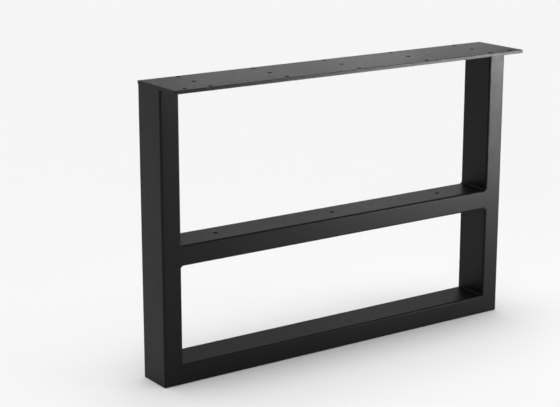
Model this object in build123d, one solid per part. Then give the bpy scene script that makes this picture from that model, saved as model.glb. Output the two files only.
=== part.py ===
from build123d import *
import os

# Welded table base: a side frame of rectangular steel tube under a drilled mounting plate.
# The origin is on the floor below the middle of the plate, +X runs along the frame and the front is at -Y.

# Overall size
height = 430.0  # floor to the top of the plate
length = 620.0  # outer face of one post to the outer face of the other
shelf_height = 204.0  # floor to the top of the middle rail

# Rectangular tube, one section for the posts and both rails
tube_depth = 60.0  # front to back
tube_face = 30.0  # width of a post, height of a rail
tube_wall = 2.0
tube_inner_radius = 1.0

# Mounting plate, flush with the posts at the back and at both ends
plate_width = 100.0
plate_thickness = 5.0
plate_edge_break = 0.5

# Screw holes in the plate: rows across it, and one hole beside each end at the front
plate_hole_diameter = 7.0
plate_hole_edge = 8.0  # long edge of the plate to the outer holes of a row
plate_row_count = 5
plate_row_holes = 3
plate_row_inset = 60.0  # end of the plate to the first row
plate_end_hole_inset = 20.0  # end of the plate to the single hole

# Screw holes down through the middle rail, for a shelf
shelf_hole_diameter = 7.0
shelf_hole_count = 3
shelf_hole_inset = 75.0  # end of the rail to the first hole

# Fillet welds
weld_leg = 2.0

# Sizes that follow from the ones above
tube_outer_radius = tube_inner_radius + tube_wall
flat_depth = tube_depth - 2 * tube_outer_radius
post_inner_x = length / 2 - tube_face
post_centre_x = length / 2 - tube_face / 2
post_top = height - plate_thickness
tube_back_y = plate_width / 2
tube_centre_y = tube_back_y - tube_depth / 2
tube_front_y = tube_back_y - tube_depth
rail_length = 2 * post_inner_x
middle_rail_z = shelf_height - tube_face / 2
plate_hole_y = plate_width / 2 - plate_hole_edge
plate_row_pitch = (length - 2 * plate_row_inset) / (plate_row_count - 1)
plate_hole_pitch = 2 * plate_hole_y / (plate_row_holes - 1)
plate_end_hole_x = length / 2 - plate_end_hole_inset
shelf_hole_pitch = (rail_length - 2 * shelf_hole_inset) / (shelf_hole_count - 1)


def outer_section(plane):
    """The tube's outer outline, its depth along the plane's x."""
    return plane * RectangleRounded(tube_depth, tube_face, tube_outer_radius)


def tube_section(plane):
    """The tube's hollow section, its depth along the plane's x."""
    inside = RectangleRounded(tube_depth - 2 * tube_wall, tube_face - 2 * tube_wall, tube_inner_radius)
    return outer_section(plane) - plane * inside


def upright_plane(z):
    """The section plane of the left post at height z."""
    return Plane((-post_centre_x, tube_centre_y, z), x_dir=(0, 1, 0), z_dir=(0, 0, 1))


def rail_plane(x, z):
    """The section plane of a rail at x, with the rail's centre line at height z."""
    return Plane((x, tube_centre_y, z), x_dir=(0, 1, 0), z_dir=(1, 0, 0))


def front_outline(*points):
    """A prism through the depth of the frame from an outline in the front view, in X and Z."""
    outline = make_face(Polyline(*[(x, 0, z) for x, z in points], close=True))
    return extrude(outline, amount=2 * plate_width, both=True)


def left_post():
    tube = extrude(tube_section(upright_plane(0)), amount=post_top)
    mitred = front_outline(
        (-length / 2, 0),
        (-post_inner_x, tube_face),
        (-post_inner_x, post_top),
        (-length / 2, post_top),
    )
    return tube & mitred


def bottom_rail():
    tube = extrude(tube_section(rail_plane(-length / 2, tube_face / 2)), amount=length)
    mitred = front_outline(
        (-length / 2, 0),
        (length / 2, 0),
        (post_inner_x, tube_face),
        (-post_inner_x, tube_face),
    )
    return tube & mitred


def middle_rail():
    tube = extrude(tube_section(rail_plane(-post_inner_x, middle_rail_z)), amount=rail_length)
    row = GridLocations(shelf_hole_pitch, 0, shelf_hole_count, 1)
    drill = Pos(0, tube_centre_y, middle_rail_z) * row * Cylinder(shelf_hole_diameter / 2, 2 * tube_face)
    return tube - drill


def top_plate():
    plate = Pos(0, 0, height - plate_thickness / 2) * Box(length, plate_width, plate_thickness)
    plate = chamfer(plate.edges(), plate_edge_break)
    rows = GridLocations(plate_row_pitch, plate_hole_pitch, plate_row_count, plate_row_holes)
    ends = Pos(0, -plate_hole_y) * GridLocations(2 * plate_end_hole_x, 0, 2, 1)
    drill = Cylinder(plate_hole_diameter / 2, 2 * plate_thickness)
    return plate - Pos(0, 0, height) * rows * drill - Pos(0, 0, height) * ends * drill


def weld_profile(plane):
    """The section of a fillet weld, its right angle at the plane's origin."""
    return plane * make_face(Polyline((0, 0), (weld_leg, 0), (0, weld_leg), close=True))


def left_foot_weld():
    """A straight bead in the inside corner of the mitre, on the flat of both tubes."""
    start = (-post_inner_x, tube_centre_y + flat_depth / 2, tube_face)
    return extrude(weld_profile(Plane(start, x_dir=(1, 0, 0), z_dir=(0, -1, 0))), amount=flat_depth)


def left_plate_weld():
    """A bead under the plate, along the post's inner side, round its corner and along its front."""
    back_end = (-post_inner_x, tube_back_y - tube_outer_radius, post_top)
    corner_start = (-post_inner_x, tube_front_y + tube_outer_radius, post_top)
    corner_end = (-post_inner_x - tube_outer_radius, tube_front_y, post_top)
    outer_end = (-length / 2 + tube_outer_radius, tube_front_y, post_top)
    inner_run = Line(back_end, corner_start)
    corner = TangentArc(corner_start, corner_end, tangent=(0, -1, 0))
    front_run = Line(corner_end, outer_end)
    profile = weld_profile(Plane(back_end, x_dir=(1, 0, 0), z_dir=(0, 1, 0)))
    return sweep(profile, path=Wire([inner_run, corner, front_run]))


def post_corner_fill(side):
    """Filler in the post's rounded corner beside the rail's end, flush with the front (-1) or back (1)."""
    face_y = tube_centre_y + side * tube_depth / 2
    low_z = middle_rail_z - tube_face / 2 - weld_leg
    edge = (-post_inner_x, face_y, low_z)
    on_inner_side = (-post_inner_x, face_y - side * tube_outer_radius, low_z)
    on_face = (-post_inner_x - tube_outer_radius, face_y, low_z)
    rounding = TangentArc(on_inner_side, on_face, tangent=(0, side, 0))
    outline = make_face([Line(edge, on_inner_side), rounding, Line(on_face, edge)])
    return extrude(outline, amount=tube_face + 2 * weld_leg, dir=(0, 0, 1))


def left_rail_weld():
    """Beads above and below the rail's end, joined by fillers ground flush with the front and back."""
    rail_end = rail_plane(-post_inner_x, middle_rail_z)
    root = offset(outer_section(rail_end), amount=weld_leg)
    bead = loft([root, outer_section(rail_end.offset(weld_leg))], ruled=True)
    between_faces = Pos(0, tube_centre_y, middle_rail_z) * Box(2 * length, tube_depth, 2 * tube_depth)
    rail = extrude(outer_section(rail_end), amount=rail_length)
    return (bead & between_faces) - rail + post_corner_fill(-1) + post_corner_fill(1)


def mirrored(piece):
    return mirror(piece, about=Plane.YZ)


pieces = {
    "left_post": left_post(),
    "right_post": mirrored(left_post()),
    "bottom_rail": bottom_rail(),
    "middle_rail": middle_rail(),
    "top_plate": top_plate(),
    "left_plate_weld": left_plate_weld(),
    "right_plate_weld": mirrored(left_plate_weld()),
    "left_rail_weld": left_rail_weld(),
    "right_rail_weld": mirrored(left_rail_weld()),
    "left_foot_weld": left_foot_weld(),
    "right_foot_weld": mirrored(left_foot_weld()),
}

os.makedirs("parts", exist_ok=True)
for name, piece in pieces.items():
    export_step(piece, f"parts/{name}.step")
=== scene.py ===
import math
import random

import bmesh
import bpy
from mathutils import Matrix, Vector
from mathutils.geometry import delaunay_2d_cdt


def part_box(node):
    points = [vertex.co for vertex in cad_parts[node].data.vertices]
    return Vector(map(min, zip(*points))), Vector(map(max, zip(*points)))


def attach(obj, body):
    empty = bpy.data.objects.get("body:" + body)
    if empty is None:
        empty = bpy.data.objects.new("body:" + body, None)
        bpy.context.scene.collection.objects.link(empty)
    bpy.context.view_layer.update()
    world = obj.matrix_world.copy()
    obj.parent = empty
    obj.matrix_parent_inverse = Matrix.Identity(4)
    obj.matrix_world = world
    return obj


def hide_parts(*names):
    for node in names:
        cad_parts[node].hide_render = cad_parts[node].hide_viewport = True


# A welded steel table base in black powder coat: four tubes, a drilled plate and six fillet welds.
# Lengths are in metres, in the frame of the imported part.
# +X runs along the frame, the front is at -Y and the floor at z 0.

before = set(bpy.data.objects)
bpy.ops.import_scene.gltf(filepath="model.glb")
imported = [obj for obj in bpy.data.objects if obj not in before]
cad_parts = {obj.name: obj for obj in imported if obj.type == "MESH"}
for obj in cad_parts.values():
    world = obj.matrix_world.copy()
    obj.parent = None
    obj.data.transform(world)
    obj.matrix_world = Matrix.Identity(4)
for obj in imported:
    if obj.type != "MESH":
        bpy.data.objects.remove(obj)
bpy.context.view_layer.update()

MM = 0.001

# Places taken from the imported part
post_low, post_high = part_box("left_post")
middle_low, middle_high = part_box("middle_rail")
plate_low, plate_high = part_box("top_plate")
weld_low, weld_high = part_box("left_foot_weld")
HALF_LENGTH = plate_high.x
INNER_X = middle_high.x
TUBE_FACE = HALF_LENGTH - INNER_X
FRONT_Y = post_low.y
BACK_Y = post_high.y
CENTRE_Y = (FRONT_Y + BACK_Y) / 2
PLATE_BOTTOM = plate_low.z
PLATE_TOP = plate_high.z
MIDDLE_Z = (middle_low.z + middle_high.z) / 2
WELD_LEG = weld_high.x - weld_low.x

# Tube section
TUBE_WALL = 2.0 * MM
TUBE_RADIUS = 3.0 * MM
TUBE_INNER_RADIUS = TUBE_RADIUS - TUBE_WALL
ARC_STEPS = 8

# Outer corner of the mitred feet, ground and coated
FOOT_RADIUS = 0.8 * MM
FOOT_STEPS = 4

# Plate edges and hole rims, as the coat rounds them
EDGE_STEPS = 4
PLATE_CORNER_RADIUS = 1.0 * MM
PLATE_TOP_EDGE = 0.6 * MM
PLATE_BOTTOM_EDGE = 0.3 * MM
HOLE_RADIUS = 3.5 * MM
HOLE_EDGE = 0.25 * MM
HOLE_STEPS = 48

# Screw holes
PLATE_ROWS = 5
PLATE_ROW_INSET = 60.0 * MM
PLATE_HOLE_EDGE = 8.0 * MM
PLATE_END_INSET = 20.0 * MM
SHELF_HOLES = 3
SHELF_HOLE_INSET = 75.0 * MM

# Weld beads
BEAD_STEP = 0.25 * MM
BEAD_LEAST_STEPS = 2
BEAD_ACROSS = 10
BEAD_CROWN = 0.25 * MM
BEAD_END = 1.5 * MM  # length over which a free end tapers
BEAD_END_LEAST = 0.2  # share of the bead's size that is left at a free end
BEAD_SWELL = 0.03  # share by which the bead's size varies along it
SWELL_LENGTH = 5.3 * MM  # for each radian of that swell
RIPPLE_PITCH = 1.6 * MM
RIPPLE_HEIGHT = 0.1 * MM
RIPPLE_LAG = 0.55  # share of a pitch by which a ripple bows in the middle of the bead
RIPPLE_DRIFT = 0.2  # share of a pitch by which the ripples stray
DRIFT_LENGTH = 6.7 * MM  # for each radian of that drift
PLATE_WELD_SEED = 11
FOOT_WELD_SEED = 21
RAIL_WELD_SEED = 31

# Welds at the middle rail, ground flush with the front and the back
FLUSH_START = math.radians(9)  # where the bead begins, round the rail's corner
FULL_FILL = 0.4 * MM  # filler that stays whole above and below the rail
RUN_OUT = 1.6 * MM  # length over which the filler then fades out

# Meshing
BEFORE_UPPER_FLAT = 1  # corners of a rounded loop that its upper and its lower side follow
BEFORE_LOWER_FLAT = 3
INSIDE_BORDER = 1  # the triangulation keeps the triangles inside the border
SKIN_TOLERANCE = 1e-4  # in millimetres
MERGE_DISTANCE = 0.001 * MM
SHARP_ANGLE = math.radians(30)

# Powder coat, with noise scales for each metre
COAT_IOR = 1.25
COAT_DARK = (0.0028, 0.0028, 0.003, 1)
COAT_LIGHT = (0.004, 0.004, 0.0042, 1)
COAT_SMOOTH = 0.38
COAT_ROUGH = 0.44
NOISE_LOW = 0.3
NOISE_HIGH = 0.7
TONE_SCALE = 24
TONE_DETAIL = 4
GLOSS_SCALE = 160
GLOSS_DETAIL = 5
PEEL_SCALE = 420
PEEL_STRENGTH = 0.12
PEEL_DEPTH = 0.05 * MM
GRAIN_SCALE = 2600
GRAIN_STRENGTH = 0.15
GRAIN_DEPTH = 0.03 * MM
BUMP_DETAIL = 2

# Sockets of a mix node that mixes colours
MIX_FACTOR = 0
MIX_FIRST = 6
MIX_SECOND = 7
MIX_RESULT = 2

# Camera, solved from the photograph's edges
CAMERA_PLACE = (-1.3457, -1.7993, 0.8016)
CAMERA_AZIMUTH = math.radians(34.53)
CAMERA_PITCH = math.radians(14.49)
IMAGE_WIDTH = 560
FOCAL_PIXELS = 1564.1
SENSOR_WIDTH = 36.0

# Studio: a pale floor, a weak even light and gridded lamps, with their power in watts
FLOOR_HALF = 12.0
FLOOR_COLOUR = (0.9, 0.9, 0.9, 1)
FLOOR_ROUGHNESS = 0.9
WORLD_COLOUR = (1, 1, 1, 1)
WORLD_STRENGTH = 0.3
OVERHEAD_PLACE = (0.4, 0.4, 2.4)
OVERHEAD_AIM = (0.4, 0.4, 0.0)
OVERHEAD_SIZE = (16.0, 16.0)
OVERHEAD_WATTS = 578
OVERHEAD_SPREAD = math.radians(60)
KEY_X = 0.25  # the key strips stand off from a point at this x
KEY_OUT = 0.05  # and this far before or behind the middle of the tubes
KEY_Z = 0.1
KEY_TURN = math.radians(40)
KEY_STRIP = 0.14
KEY_SPREAD = math.radians(40)
SHEEN_SIZE = (0.6, 0.2)
SHEEN_SPREAD = math.radians(120)


class Shell:
    """Points and faces of one closed mesh, built ring by ring."""

    def __init__(self):
        self.points = []
        self.faces = []

    def ring(self, points):
        """Adds the points of a closed ring and gives their numbers."""
        first = len(self.points)
        self.points.extend(points)
        return list(range(first, len(self.points)))

    def bridge(self, one, two, skip=()):
        """A band of four-sided faces between two closed rings, open at the places in skip."""
        for i in range(len(one)):
            j = (i + 1) % len(one)
            if i not in skip:
                self.faces.append((one[i], one[j], two[j], two[i]))

    def bridge_all(self, rings):
        """A band between each ring and the next."""
        for one, two in zip(rings, rings[1:]):
            self.bridge(one, two)

    def cap(self, ring):
        """One face across a ring."""
        self.faces.append(tuple(ring))

    def skin(self, border, holes):
        """A level face inside the border, with round holes in it.

        A triangle whose corners are all on one hole's rim lies in that hole, so it is left out.
        """
        loops = [border] + holes
        used = [i for loop in loops for i in loop]
        loop_of = [n for n, loop in enumerate(loops) for _ in loop]
        place = {point: k for k, point in enumerate(used)}
        edges = [(place[a], place[b]) for loop in loops for a, b in zip(loop, loop[1:] + loop[:1])]
        level = [Vector((self.points[i][0] / MM, self.points[i][1] / MM)) for i in used]
        _, _, faces, sources, _, _ = delaunay_2d_cdt(level, edges, [], INSIDE_BORDER, SKIN_TOLERANCE)
        for face in faces:
            corners = [sources[corner][0] for corner in face]
            touched = {loop_of[corner] for corner in corners}
            if len(touched) > 1 or 0 in touched:
                self.faces.append(tuple(used[corner] for corner in corners))


def rounded_loop(low_u, high_u, low_v, high_v, radius):
    """Points round a rectangle with rounded corners, each corner an arc of ARC_STEPS."""
    corners = (
        (high_u - radius, low_v + radius, -math.pi / 2),
        (high_u - radius, high_v - radius, 0.0),
        (low_u + radius, high_v - radius, math.pi / 2),
        (low_u + radius, low_v + radius, math.pi),
    )
    loop = []
    for u, v, start in corners:
        for k in range(ARC_STEPS + 1):
            turn = start + math.pi / 2 * k / ARC_STEPS
            loop.append((u + radius * math.cos(turn), v + radius * math.sin(turn)))
    return loop


def flat_after(corner):
    """The place in a rounded loop of the straight side that follows a corner."""
    return (corner + 1) * (ARC_STEPS + 1) - 1


def tube_loops(low_v, high_v):
    """The outer and the inner outline of the tube, as depth in Y and a second coordinate."""
    outer = rounded_loop(FRONT_Y, BACK_Y, low_v, high_v, TUBE_RADIUS)
    inner = rounded_loop(
        FRONT_Y + TUBE_WALL,
        BACK_Y - TUBE_WALL,
        low_v + TUBE_WALL,
        high_v - TUBE_WALL,
        TUBE_INNER_RADIUS,
    )
    return outer, inner


def post_point(side, y, offset, along):
    """A point of a post, from its offset inside the outer face and its height."""
    return (side * (HALF_LENGTH - offset), y, along)


def rail_point(side, y, offset, along):
    """A point of the bottom rail, from its height and its distance from the frame's end."""
    return (side * (HALF_LENGTH - along), y, offset)


def mitre_path(depth):
    """Offset from the outer face and distance along the tube, from the tube's side to its mitre."""
    path = []
    reach = FOOT_RADIUS - depth
    for k in range(FOOT_STEPS + 1):
        share = k / FOOT_STEPS
        turn = math.pi / 4 * share
        if reach > 0:
            path.append((FOOT_RADIUS - reach * math.cos(turn), FOOT_RADIUS - reach * math.sin(turn)))
        else:
            path.append((depth, depth + FOOT_RADIUS * (1 - share)))
    return path


def mitre_rings(shell, outer, point, side):
    """Rings of the outer wall at a mitred end, the cut last."""
    paths = [(y, mitre_path(depth)) for y, depth in outer]
    return [shell.ring([point(side, y, *path[k]) for y, path in paths]) for k in range(FOOT_STEPS + 1)]


def close_tube(shell, outer_rings, inner_rings):
    """Walls along the rings and the cut faces of the wall at both ends."""
    shell.bridge_all(outer_rings)
    shell.bridge_all(inner_rings)
    shell.bridge(outer_rings[0], inner_rings[0])
    shell.bridge(outer_rings[-1], inner_rings[-1])


def post(side):
    """An upright tube with a mitred foot, its top against the plate."""
    shell = Shell()
    outer, inner = tube_loops(0.0, TUBE_FACE)
    foot = mitre_rings(shell, outer, post_point, side)
    top = shell.ring([post_point(side, y, depth, PLATE_BOTTOM) for y, depth in outer])
    inner_foot = shell.ring([post_point(side, y, depth, depth) for y, depth in inner])
    inner_top = shell.ring([post_point(side, y, depth, PLATE_BOTTOM) for y, depth in inner])
    close_tube(shell, foot[::-1] + [top], [inner_foot, inner_top])
    return [shell]


def bottom_rail():
    """A level tube on the floor, mitred at both ends."""
    shell = Shell()
    outer, inner = tube_loops(0.0, TUBE_FACE)
    outer_rings = []
    inner_rings = []
    for side in (-1, 1):
        end = mitre_rings(shell, outer, rail_point, side)
        outer_rings += end[::-1] if side < 0 else end
        inner_rings.append(shell.ring([rail_point(side, y, depth, depth) for y, depth in inner]))
    close_tube(shell, outer_rings, inner_rings)
    return [shell]


def circle(radius, centre, z):
    """Points round a screw hole at one height."""
    turns = [2 * math.pi * k / HOLE_STEPS for k in range(HOLE_STEPS)]
    return [(centre[0] + radius * math.cos(t), centre[1] + radius * math.sin(t), z) for t in turns]


def edge_rounding(size):
    """Steps of a rounded edge: how far inside the side it lies, and how far below the face."""
    turns = [math.pi / 2 * k / EDGE_STEPS for k in range(EDGE_STEPS + 1)]
    return [(size * (1 - math.sin(t)), size * (1 - math.cos(t))) for t in turns]


def drilled_wall(shell, centre, face_z, far_z, far_edge):
    """The wall of a screw hole from a face with a rounded rim to the far face: its first and last ring."""
    down = math.copysign(1, far_z - face_z)
    levels = [(HOLE_RADIUS + out, face_z + down * below) for out, below in edge_rounding(HOLE_EDGE)]
    if far_edge:
        far_rim = edge_rounding(far_edge)[::-1]
        levels += [(HOLE_RADIUS + out, far_z - down * below) for out, below in far_rim]
    else:
        levels.append((HOLE_RADIUS, far_z))
    rings = [shell.ring(circle(radius, centre, z)) for radius, z in levels]
    shell.bridge_all(rings)
    return rings[0], rings[-1]


def middle_rail():
    """A level tube between the posts, drilled through its upper and lower wall."""
    shell = Shell()
    outer, inner = tube_loops(middle_low.z, middle_high.z)
    first_hole = -INNER_X + SHELF_HOLE_INSET
    pitch = -2 * first_hole / (SHELF_HOLES - 1)
    centres = [(first_hole + k * pitch, CENTRE_Y) for k in range(SHELF_HOLES)]
    flats = {flat_after(BEFORE_UPPER_FLAT): 1, flat_after(BEFORE_LOWER_FLAT): -1}
    outer_ends = [shell.ring([(x, y, z) for y, z in outer]) for x in (-INNER_X, INNER_X)]
    inner_ends = [shell.ring([(x, y, z) for y, z in inner]) for x in (-INNER_X, INNER_X)]
    shell.bridge(*outer_ends, skip=flats)
    shell.bridge(*inner_ends, skip=flats)
    for ends in zip(outer_ends, inner_ends):
        shell.bridge(*ends)
    for flat, up in flats.items():
        face_z = MIDDLE_Z + up * TUBE_FACE / 2
        rims = [drilled_wall(shell, c, face_z, face_z - up * TUBE_WALL, 0) for c in centres]
        for ends, which in ((outer_ends, 0), (inner_ends, 1)):
            one, two = ends
            after = (flat + 1) % len(one)
            border = [one[flat], one[after], two[after], two[flat]]
            shell.skin(border, [rim[which] for rim in rims])
    return [shell]


def plate_holes():
    """Centres of the screw holes: rows across the plate, and one hole beside each end at the front."""
    first_row = -HALF_LENGTH + PLATE_ROW_INSET
    pitch = -2 * first_row / (PLATE_ROWS - 1)
    edge_y = plate_high.y - PLATE_HOLE_EDGE
    centres = [(first_row + k * pitch, y) for k in range(PLATE_ROWS) for y in (-edge_y, 0.0, edge_y)]
    return centres + [(side * (HALF_LENGTH - PLATE_END_INSET), -edge_y) for side in (-1, 1)]


def top_plate():
    """A flat steel plate with rounded edges and drilled holes."""
    shell = Shell()
    levels = [(inset, PLATE_TOP - below) for inset, below in edge_rounding(PLATE_TOP_EDGE)]
    levels += [(inset, PLATE_BOTTOM + above) for inset, above in edge_rounding(PLATE_BOTTOM_EDGE)[::-1]]
    rings = []
    for inset, z in levels:
        loop = rounded_loop(
            plate_low.x + inset,
            plate_high.x - inset,
            plate_low.y + inset,
            plate_high.y - inset,
            PLATE_CORNER_RADIUS - inset,
        )
        rings.append(shell.ring([(x, y, z) for x, y in loop]))
    shell.bridge_all(rings)
    rims = [drilled_wall(shell, c, PLATE_TOP, PLATE_BOTTOM, HOLE_EDGE) for c in plate_holes()]
    shell.skin(rings[0], [top for top, bottom in rims])
    shell.skin(rings[-1], [bottom for top, bottom in rims])
    return [shell]


def run(start, end, one, two):
    """Weld stations along a straight seam: the root, and the directions along the two faces."""
    start = Vector(start)
    end = Vector(end)
    count = max(BEAD_LEAST_STEPS, round((end - start).length / BEAD_STEP))
    return [(start.lerp(end, k / count), Vector(one), Vector(two)) for k in range(count + 1)]


def bend(centre, first, last, one_at, two):
    """Weld stations round a tube's corner: one_at gives the outward direction at an angle."""
    count = max(BEAD_LEAST_STEPS, round(TUBE_RADIUS * abs(last - first) / BEAD_STEP))
    stations = []
    for k in range(count + 1):
        one = Vector(one_at(first + (last - first) * k / count))
        stations.append((Vector(centre) + TUBE_RADIUS * one, one, Vector(two)))
    return stations


def bead(stations, seed, ends_free=True):
    """A convex fillet weld with its ripples, kept between front and back where its ends aren't free."""
    shell = Shell()
    rng = random.Random(seed)
    drift = rng.uniform(0, 2 * math.pi)
    swell = rng.uniform(0, 2 * math.pi)
    runs = [0.0]
    for (here, _, _), (ahead, _, _) in zip(stations, stations[1:]):
        runs.append(runs[-1] + (ahead - here).length)
    rings = []
    for (root, one, two), distance in zip(stations, runs):
        size = WELD_LEG * (1 + BEAD_SWELL * math.sin(distance / SWELL_LENGTH + swell))
        if ends_free:
            left = min(distance, runs[-1] - distance, BEAD_END) / BEAD_END
            size *= max(BEAD_END_LEAST, math.sqrt(1 - (1 - left) ** 2))
        phase = distance / RIPPLE_PITCH + RIPPLE_DRIFT * math.sin(distance / DRIFT_LENGTH + drift)
        outward = (one + two).normalized()
        section = [root]
        for k in range(BEAD_ACROSS + 1):
            share = k / BEAD_ACROSS
            middle = 4 * share * (1 - share)
            wave = 0.5 + 0.5 * math.cos(2 * math.pi * (phase + RIPPLE_LAG * middle))
            lift = (BEAD_CROWN - RIPPLE_HEIGHT * wave) * middle * size / WELD_LEG
            point = root + size * ((1 - share) * one + share * two) + lift * outward
            if not ends_free:
                point.y = min(max(point.y, FRONT_Y), BACK_Y)
            section.append(point)
        rings.append(shell.ring([tuple(point) for point in section]))
    shell.bridge_all(rings)
    shell.cap(rings[0])
    shell.cap(rings[-1])
    return shell


def plate_weld(side):
    """A bead under the plate, along the post's inner side, round its corner and along its front."""
    inner_x = side * INNER_X
    corner_x = side * (INNER_X + TUBE_RADIUS)
    outer_x = side * (HALF_LENGTH - TUBE_RADIUS)
    corner_y = FRONT_Y + TUBE_RADIUS
    back_end = (inner_x, BACK_Y - TUBE_RADIUS, PLATE_BOTTOM)
    down = (0, 0, -1)

    def outward(turn):
        return (-side * math.cos(turn), -math.sin(turn), 0)

    inside = run(back_end, (inner_x, corner_y, PLATE_BOTTOM), (-side, 0, 0), down)
    corner = bend((corner_x, corner_y, PLATE_BOTTOM), 0.0, math.pi / 2, outward, down)
    front = run((corner_x, FRONT_Y, PLATE_BOTTOM), (outer_x, FRONT_Y, PLATE_BOTTOM), (0, -1, 0), down)
    return [bead(inside + corner[1:-1] + front, PLATE_WELD_SEED + side)]


def foot_weld(side):
    """A straight bead in the inside corner of the mitre."""
    start = (side * INNER_X, BACK_Y - TUBE_RADIUS, TUBE_FACE)
    end = (side * INNER_X, FRONT_Y + TUBE_RADIUS, TUBE_FACE)
    return [bead(run(start, end, (-side, 0, 0), (0, 0, 1)), FOOT_WELD_SEED + side)]


def rail_bead(side, up):
    """The bead over (1) or under (-1) the end of the middle rail, flush with the front and the back."""
    x = side * INNER_X
    front_y = FRONT_Y + TUBE_RADIUS
    back_y = BACK_Y - TUBE_RADIUS
    corner_z = MIDDLE_Z + up * (TUBE_FACE / 2 - TUBE_RADIUS)
    flat_z = MIDDLE_Z + up * TUBE_FACE / 2
    along = (-side, 0, 0)

    def outward_front(turn):
        return (0, -math.cos(turn), up * math.sin(turn))

    def outward_back(turn):
        return (0, math.cos(turn), up * math.sin(turn))

    front = bend((x, front_y, corner_z), FLUSH_START, math.pi / 2, outward_front, along)
    flat = run((x, front_y, flat_z), (x, back_y, flat_z), (0, 0, up), along)
    back = bend((x, back_y, corner_z), math.pi / 2, FLUSH_START, outward_back, along)
    stations = [(root, two, one) for root, one, two in front[:-1] + flat + back[1:]]
    return bead(stations, RAIL_WELD_SEED + 2 * side + up, ends_free=False)


def eased(share):
    """A share from 0 to 1 that starts and ends slowly."""
    return share * share * (3 - 2 * share)


def corner_fill(side, face):
    """Filler in the post's rounded corner at the rail's end, flush with the front (-1) or back (1)."""
    shell = Shell()
    face_y = BACK_Y if face > 0 else FRONT_Y
    half_span = TUBE_FACE / 2 + FULL_FILL
    shares = [k / ARC_STEPS for k in range(ARC_STEPS + 1)]
    levels = [(-half_span - RUN_OUT * (1 - share), eased(share)) for share in shares]
    levels += [(-z, fill) for z, fill in levels[::-1]]
    rings = []
    for z, fill in levels:
        arc = []
        surface = []
        for k in range(2 * ARC_STEPS + 1):
            share = k / ARC_STEPS
            turn = math.pi / 4 * share
            rounded = Vector((1 - math.sin(turn), 1 - math.cos(turn)))
            square = Vector((1 - share, 0)) if share <= 1 else Vector((0, share - 1))
            arc.append(rounded)
            surface.append(rounded.lerp(square, fill))
        outline = arc + surface[-2:0:-1]
        points = [
            (side * (INNER_X + TUBE_RADIUS * p.x), face_y - face * TUBE_RADIUS * p.y, MIDDLE_Z + z)
            for p in outline
        ]
        rings.append(shell.ring(points))
    shell.bridge_all(rings)
    return shell


def rail_weld(side):
    """The welds round one end of the middle rail."""
    return [rail_bead(side, 1), rail_bead(side, -1), corner_fill(side, -1), corner_fill(side, 1)]


def add_piece(node, shells, material):
    """One visible piece from closed shells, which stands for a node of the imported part."""
    name = node + "_coated"
    whole = bmesh.new()
    for shell in shells:
        mesh = bpy.data.meshes.new(name)
        mesh.from_pydata(shell.points, [], shell.faces)
        part = bmesh.new()
        part.from_mesh(mesh)
        bmesh.ops.remove_doubles(part, verts=part.verts, dist=MERGE_DISTANCE)
        bmesh.ops.recalc_face_normals(part, faces=part.faces)
        part.to_mesh(mesh)
        part.free()
        whole.from_mesh(mesh)
        bpy.data.meshes.remove(mesh)
    mesh = bpy.data.meshes.new(name)
    whole.to_mesh(mesh)
    whole.free()
    mesh.shade_smooth()
    mesh.set_sharp_from_angle(angle=SHARP_ANGLE)
    mesh.materials.append(material)
    piece = bpy.data.objects.new(name, mesh)
    bpy.context.scene.collection.objects.link(piece)
    even = piece.modifiers.new("even_normals", "WEIGHTED_NORMAL")
    even.keep_sharp = True
    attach(piece, "root")
    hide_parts(node)


def coat_material():
    """Satin black powder coat: a fine grain and a soft orange peel, slightly uneven in tone and gloss."""
    material = bpy.data.materials.new("powder_coat")
    material.use_nodes = True
    nodes = material.node_tree.nodes
    links = material.node_tree.links
    shader = nodes["Principled BSDF"]
    shader.inputs["IOR"].default_value = COAT_IOR
    place = nodes.new("ShaderNodeTexCoord")

    def noise(scale, detail):
        texture = nodes.new("ShaderNodeTexNoise")
        texture.inputs["Scale"].default_value = scale
        texture.inputs["Detail"].default_value = detail
        links.new(place.outputs["Object"], texture.inputs["Vector"])
        return texture.outputs["Fac"]

    def spread(value, low, high):
        """The middle of a noise's range, spread from low to high."""
        stretch = nodes.new("ShaderNodeMapRange")
        stretch.inputs["From Min"].default_value = NOISE_LOW
        stretch.inputs["From Max"].default_value = NOISE_HIGH
        stretch.inputs["To Min"].default_value = low
        stretch.inputs["To Max"].default_value = high
        links.new(value, stretch.inputs["Value"])
        return stretch.outputs["Result"]

    def bump(height, strength, depth):
        relief = nodes.new("ShaderNodeBump")
        relief.inputs["Strength"].default_value = strength
        relief.inputs["Distance"].default_value = depth
        links.new(height, relief.inputs["Height"])
        return relief

    colour = nodes.new("ShaderNodeMix")
    colour.data_type = "RGBA"
    colour.inputs[MIX_FIRST].default_value = COAT_DARK
    colour.inputs[MIX_SECOND].default_value = COAT_LIGHT
    links.new(spread(noise(TONE_SCALE, TONE_DETAIL), 0, 1), colour.inputs[MIX_FACTOR])
    links.new(colour.outputs[MIX_RESULT], shader.inputs["Base Color"])
    gloss = spread(noise(GLOSS_SCALE, GLOSS_DETAIL), COAT_SMOOTH, COAT_ROUGH)
    links.new(gloss, shader.inputs["Roughness"])
    peel = bump(noise(PEEL_SCALE, BUMP_DETAIL), PEEL_STRENGTH, PEEL_DEPTH)
    grain = bump(noise(GRAIN_SCALE, BUMP_DETAIL), GRAIN_STRENGTH, GRAIN_DEPTH)
    links.new(peel.outputs["Normal"], grain.inputs["Normal"])
    links.new(grain.outputs["Normal"], shader.inputs["Normal"])
    return material


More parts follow.
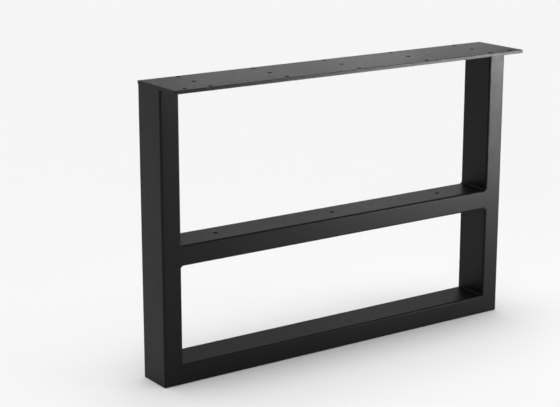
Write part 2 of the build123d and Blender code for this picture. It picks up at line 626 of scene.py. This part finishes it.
def floor():
    """A plain pale floor, which keeps the object's shadow."""
    mesh = bpy.data.meshes.new("floor")
    corners = [(x * FLOOR_HALF, y * FLOOR_HALF, 0) for x, y in ((-1, -1), (1, -1), (1, 1), (-1, 1))]
    mesh.from_pydata(corners, [], [(0, 1, 2, 3)])
    plane = bpy.data.objects.new("floor", mesh)
    bpy.context.scene.collection.objects.link(plane)
    material = bpy.data.materials.new("floor")
    material.use_nodes = True
    shader = material.node_tree.nodes["Principled BSDF"]
    shader.inputs["Base Color"].default_value = FLOOR_COLOUR
    shader.inputs["Roughness"].default_value = FLOOR_ROUGHNESS
    shader.inputs["Specular IOR Level"].default_value = 0.0
    mesh.materials.append(material)


def area_light(name, place, target, size, watts, spread):
    """A rectangular lamp that faces a target, with its beam kept to a spread."""
    data = bpy.data.lights.new(name, "AREA")
    data.shape = "RECTANGLE"
    data.size, data.size_y = size
    data.energy = watts
    data.spread = spread
    lamp = bpy.data.objects.new(name, data)
    bpy.context.scene.collection.objects.link(lamp)
    lamp.location = place
    lamp.rotation_euler = (Vector(target) - Vector(place)).to_track_quat("-Z", "Y").to_euler()
    lamp.visible_camera = False


def key_light(name, facing, width, distance, rise, watts):
    """A low strip on the right, which shines up along the front (-1) or the back (1) of the frame."""
    away = Vector((math.sin(KEY_TURN), facing * math.cos(KEY_TURN), 0))
    place = Vector((KEY_X, CENTRE_Y + facing * KEY_OUT, KEY_Z)) + distance * away
    target = place - away + Vector((0, 0, math.tan(rise)))
    area_light(name, place, target, (width, KEY_STRIP), watts, KEY_SPREAD)


def sheen_light(name, facing, turn, distance, height, watts):
    """A weak strip before (-1) or behind (1) the frame, which its level faces reflect."""
    place = (distance * math.sin(turn), facing * distance * math.cos(turn), height)
    area_light(name, place, (0, 0, PLATE_TOP), SHEEN_SIZE, watts, SHEEN_SPREAD)


def world_light():
    """A weak even light from all sides."""
    world = bpy.data.worlds.new("studio")
    world.use_nodes = True
    background = world.node_tree.nodes["Background"]
    background.inputs["Color"].default_value = WORLD_COLOUR
    background.inputs["Strength"].default_value = WORLD_STRENGTH
    bpy.context.scene.world = world


def photo_camera():
    """A camera at the photograph's viewing angle."""
    data = bpy.data.cameras.new("camera")
    data.sensor_width = SENSOR_WIDTH
    data.lens = FOCAL_PIXELS * SENSOR_WIDTH / IMAGE_WIDTH
    camera = bpy.data.objects.new("camera", data)
    bpy.context.scene.collection.objects.link(camera)
    camera.location = CAMERA_PLACE
    camera.rotation_euler = (math.pi / 2 - CAMERA_PITCH, 0, -CAMERA_AZIMUTH)
    bpy.context.scene.camera = camera


# The frame's pieces
coat = coat_material()
add_piece("left_post", post(-1), coat)
add_piece("right_post", post(1), coat)
add_piece("bottom_rail", bottom_rail(), coat)
add_piece("middle_rail", middle_rail(), coat)
add_piece("top_plate", top_plate(), coat)
for side_name, side in (("left", -1), ("right", 1)):
    add_piece(side_name + "_plate_weld", plate_weld(side), coat)
    add_piece(side_name + "_rail_weld", rail_weld(side), coat)
    add_piece(side_name + "_foot_weld", foot_weld(side), coat)

# The studio
floor()
area_light("overhead", OVERHEAD_PLACE, OVERHEAD_AIM, OVERHEAD_SIZE, OVERHEAD_WATTS, OVERHEAD_SPREAD)
key_light("key_low", -1, width=0.5, distance=1.4, rise=math.radians(8), watts=0.97)
for end, facing in (("front", -1), ("back", 1)):
    key_light("key_high_" + end, facing, width=0.9, distance=1.8, rise=math.radians(28), watts=21.0)
    sheen_light("sheen_left_" + end, facing, turn=math.radians(25), distance=0.7, height=0.65, watts=0.12)
    sheen_light("sheen_middle_" + end, facing, turn=math.radians(37), distance=0.7, height=0.52, watts=0.09)
    sheen_light("sheen_right_" + end, facing, turn=math.radians(50), distance=1.2, height=0.52, watts=0.13)
world_light()
photo_camera()
bpy.context.scene.view_settings.view_transform = "Standard"
